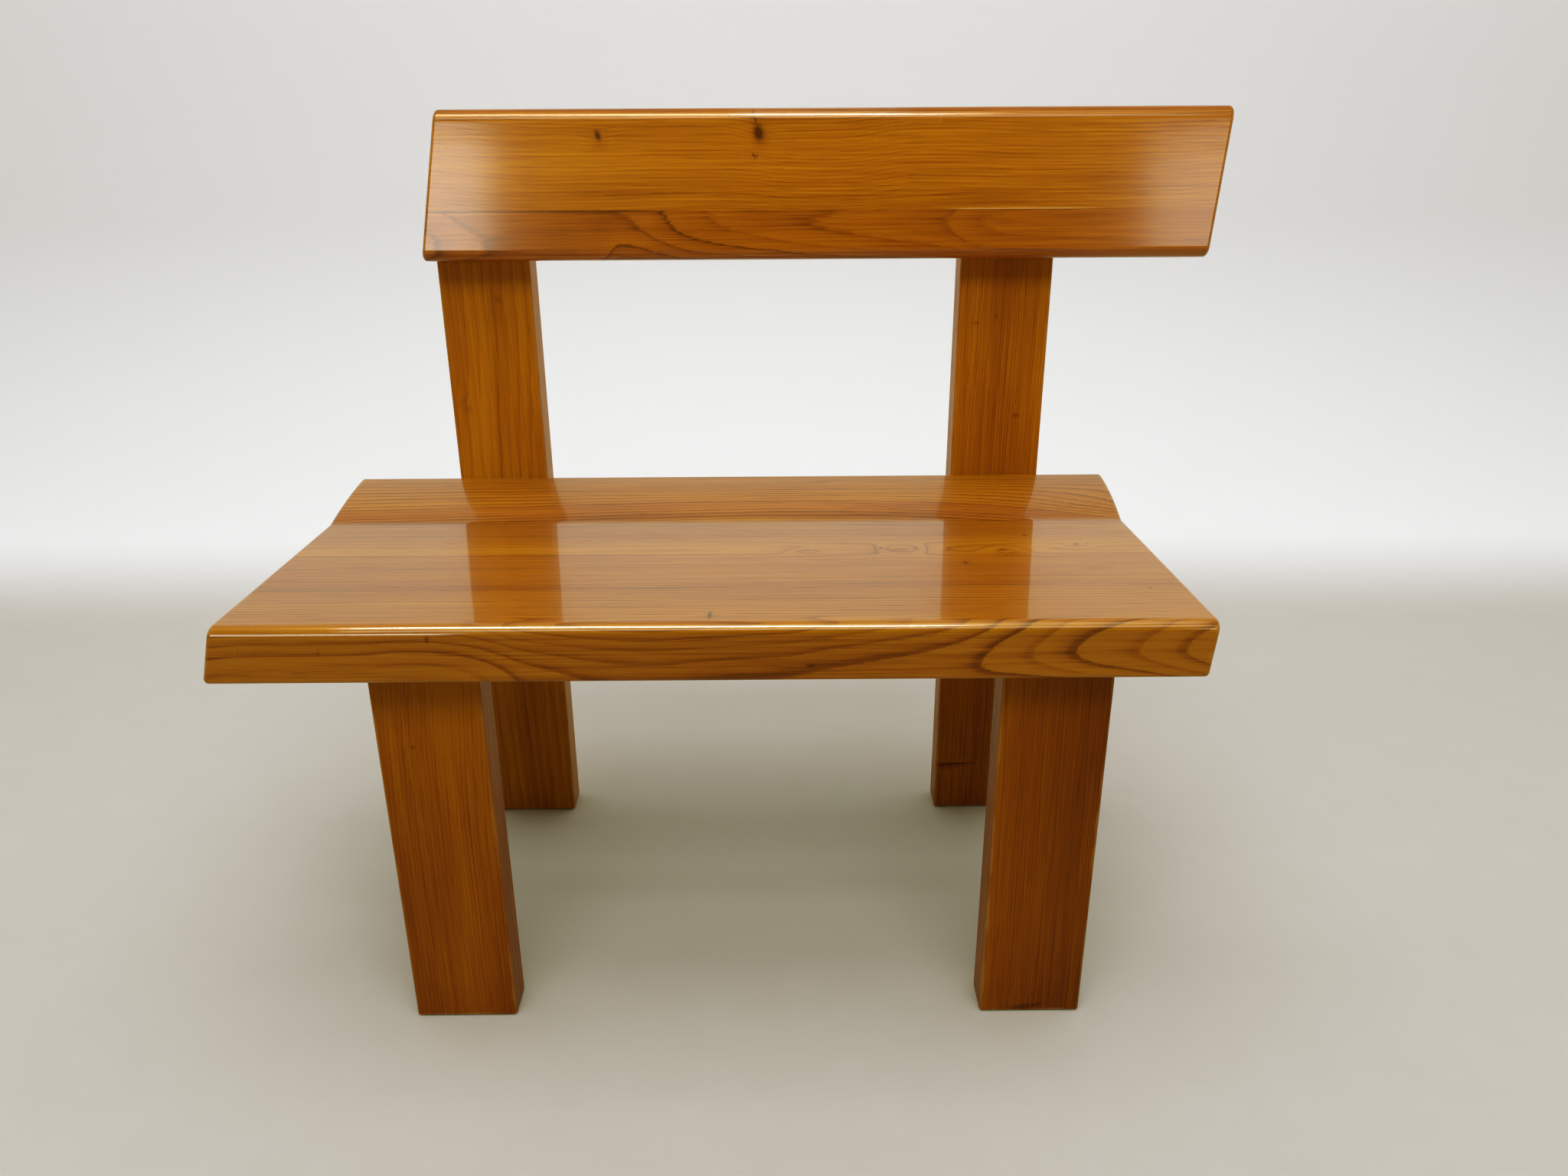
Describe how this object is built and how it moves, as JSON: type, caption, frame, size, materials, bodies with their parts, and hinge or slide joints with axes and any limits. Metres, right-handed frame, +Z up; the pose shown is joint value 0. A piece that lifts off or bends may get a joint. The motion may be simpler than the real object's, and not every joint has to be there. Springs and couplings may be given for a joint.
{
  "type": "wooden bench with backrest",
  "caption": "Low wooden bench with a hollowed plank seat on flat legs; the rear legs run up as posts and carry a leaning plank backrest set off to one side for use in a corner.",
  "frame": {"origin": "on the floor, at the centre of the bench's bounding box seen from above", "axes": "+X along the bench to the right as seen from the front, -Y towards the front where the sitter's legs hang, +Z up"},
  "size_m": [0.9602, 0.454, 0.8451],
  "materials": {
    "varnished_elm": "glossy amber varnish",
    "plug_wood": "varnished end grain",
    "dowel_wood": "raw beech",
    "screw_steel": "zinc-plated",
    "felt": "pressed felt"
  },
  "bodies": {
    "root": {"seat_front_board": "varnished_elm", "seat_rear_board": "varnished_elm", "backrest_upper_board": "varnished_elm", "backrest_lower_board": "varnished_elm", "front_left_leg": "varnished_elm", "front_right_leg": "varnished_elm", "rear_left_post": "varnished_elm", "rear_right_post": "varnished_elm", "left_seat_bearer": "varnished_elm", "right_seat_bearer": "varnished_elm", "left_backrest_plugs": "plug_wood", "right_backrest_plugs": "plug_wood", "left_post_plugs": "plug_wood", "right_post_plugs": "plug_wood", "seat_joint_dowels": "dowel_wood", "backrest_joint_dowels": "dowel_wood", "front_left_leg_dowels": "dowel_wood", "front_right_leg_dowels": "dowel_wood", "left_seat_screws": "screw_steel", "right_seat_screws": "screw_steel", "left_backrest_screws": "screw_steel", "right_backrest_screws": "screw_steel", "left_post_screws": "screw_steel", "right_post_screws": "screw_steel", "front_left_foot_pad": "felt", "front_right_foot_pad": "felt", "rear_left_foot_pad": "felt", "rear_right_foot_pad": "felt"}
  },
  "joints": []
}
